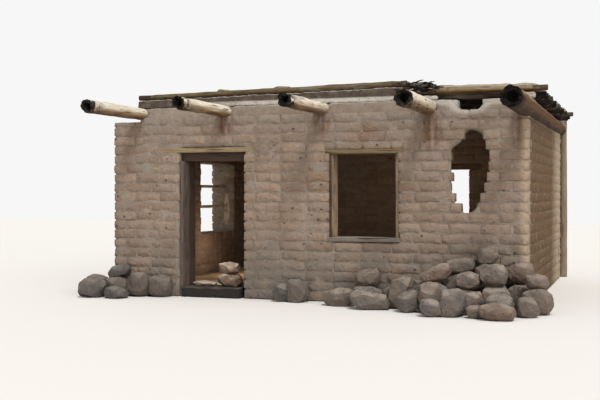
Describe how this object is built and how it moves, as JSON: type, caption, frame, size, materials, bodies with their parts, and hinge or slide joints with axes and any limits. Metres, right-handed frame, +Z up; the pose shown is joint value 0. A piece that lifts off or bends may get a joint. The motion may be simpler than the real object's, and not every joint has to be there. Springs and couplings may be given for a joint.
{
  "type": "adobe house",
  "caption": "Ruined one-room adobe house with mud-brick walls, projecting log vigas, a pole and earth roof, open doorways and windows, and rubble at its foot.",
  "frame": {"origin": "centre of the walls' outline on the ground, on the underside of the packed-earth floor", "axes": "+X to the right along the front wall, +Y from the front wall to the back wall, +Z up"},
  "size_m": [6.1363, 6.375, 2.7789],
  "materials": {
    "adobe": "weathered sun-dried mud brick in mud mortar, matt and crumbly",
    "earth": "rammed and rain-washed earth, dusty, matt",
    "log": "peeled log, sun-bleached and checked",
    "roof_pole": "rough brown pole with bark left on in places",
    "weathered_timber": "grey split-grained old timber",
    "field_stone": "rough pitted field stone"
  },
  "bodies": {
    "root": {"front_wall": "adobe", "back_wall": "adobe", "left_wall": "adobe", "right_wall": "adobe", "packed_earth_floor": "earth", "threshold_stone": "field_stone", "door_lintel": "weathered_timber", "door_head": "weathered_timber", "door_jamb_left": "weathered_timber", "door_jamb_right": "weathered_timber", "window_lintel": "weathered_timber", "window_sill": "weathered_timber", "window_jamb_left": "weathered_timber", "window_jamb_right": "weathered_timber", "left_window_lintel": "weathered_timber", "left_window_bars": "weathered_timber", "rear_door_lintel": "weathered_timber", "viga_1": "log", "viga_2": "log", "viga_3": "log", "viga_4": "log", "viga_5": "log", "latillas": "roof_pole", "front_edge_pole_left": "roof_pole", "front_edge_pole_right": "roof_pole", "rear_edge_pole_left": "roof_pole", "rear_edge_pole_right": "roof_pole", "front_mud_band": "earth", "rear_mud_band": "earth", "roof_earth": "earth", "rear_corner_post": "weathered_timber", "front_stone_bank": "field_stone", "left_corner_rubble": "field_stone", "door_side_stone": "field_stone", "doorway_stones": "field_stone", "roof_stones": "field_stone"}
  },
  "joints": []
}
